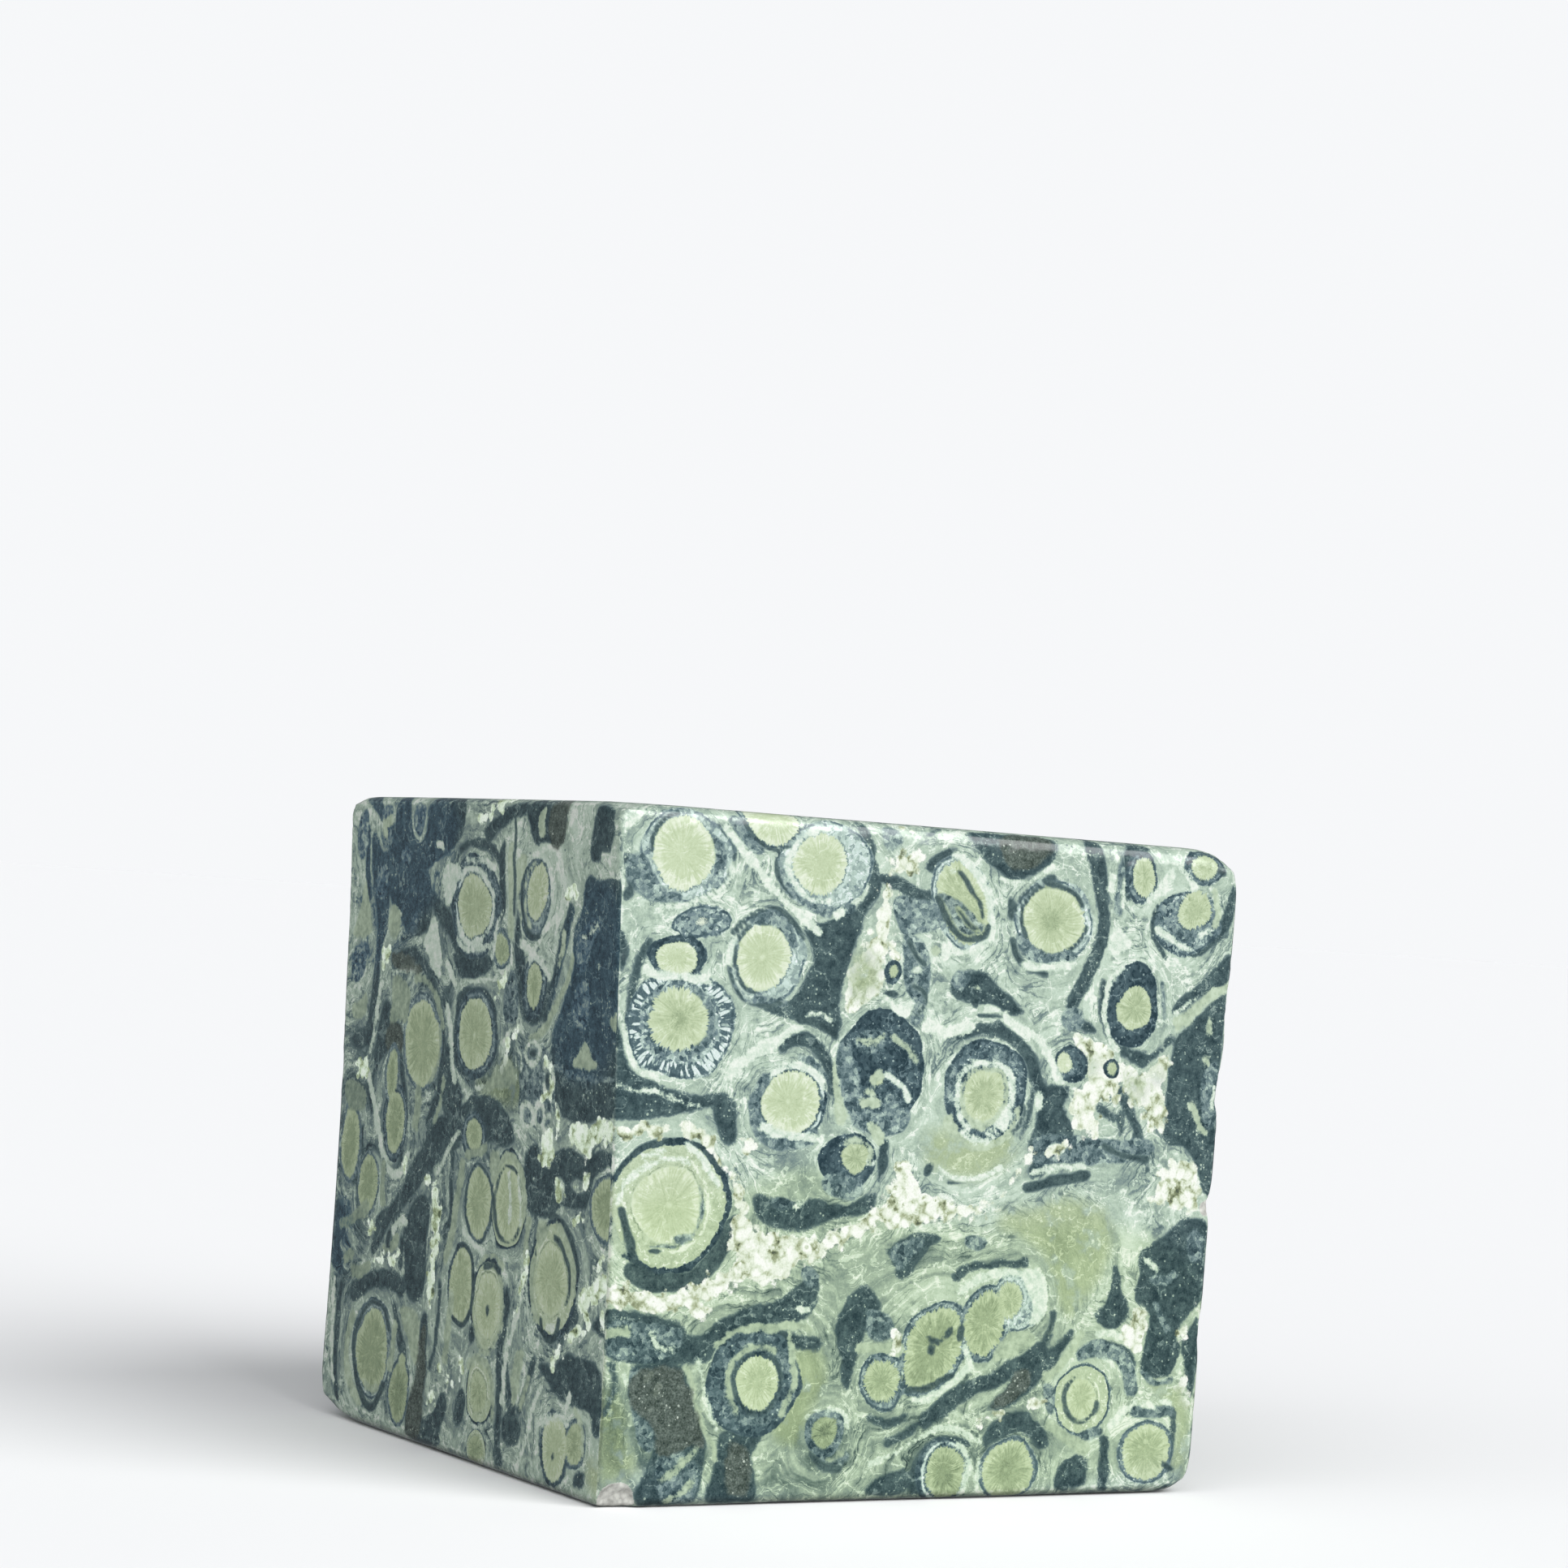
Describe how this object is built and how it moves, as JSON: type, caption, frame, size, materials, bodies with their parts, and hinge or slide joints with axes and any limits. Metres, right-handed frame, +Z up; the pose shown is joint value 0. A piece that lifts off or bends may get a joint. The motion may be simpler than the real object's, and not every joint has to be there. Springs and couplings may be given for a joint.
{
  "type": "kambaba jasper cube",
  "caption": "Hand-cut, polished cube of dark green orbicular stone with eye patterns, for display on a shelf or as a paperweight.",
  "frame": {"origin": "centre of the bounding box on the ground, under the middle of the cube", "axes": "+Z up, the bright patterned face looks along -Y, the face beside it along -X"},
  "size_m": [0.0562, 0.0478, 0.0503],
  "materials": {
    "kambaba_jasper": "hand-polished, glossy, with a few sugary white chips at the edges"
  },
  "bodies": {
    "root": {"jasper_cube": "kambaba_jasper"}
  },
  "joints": []
}
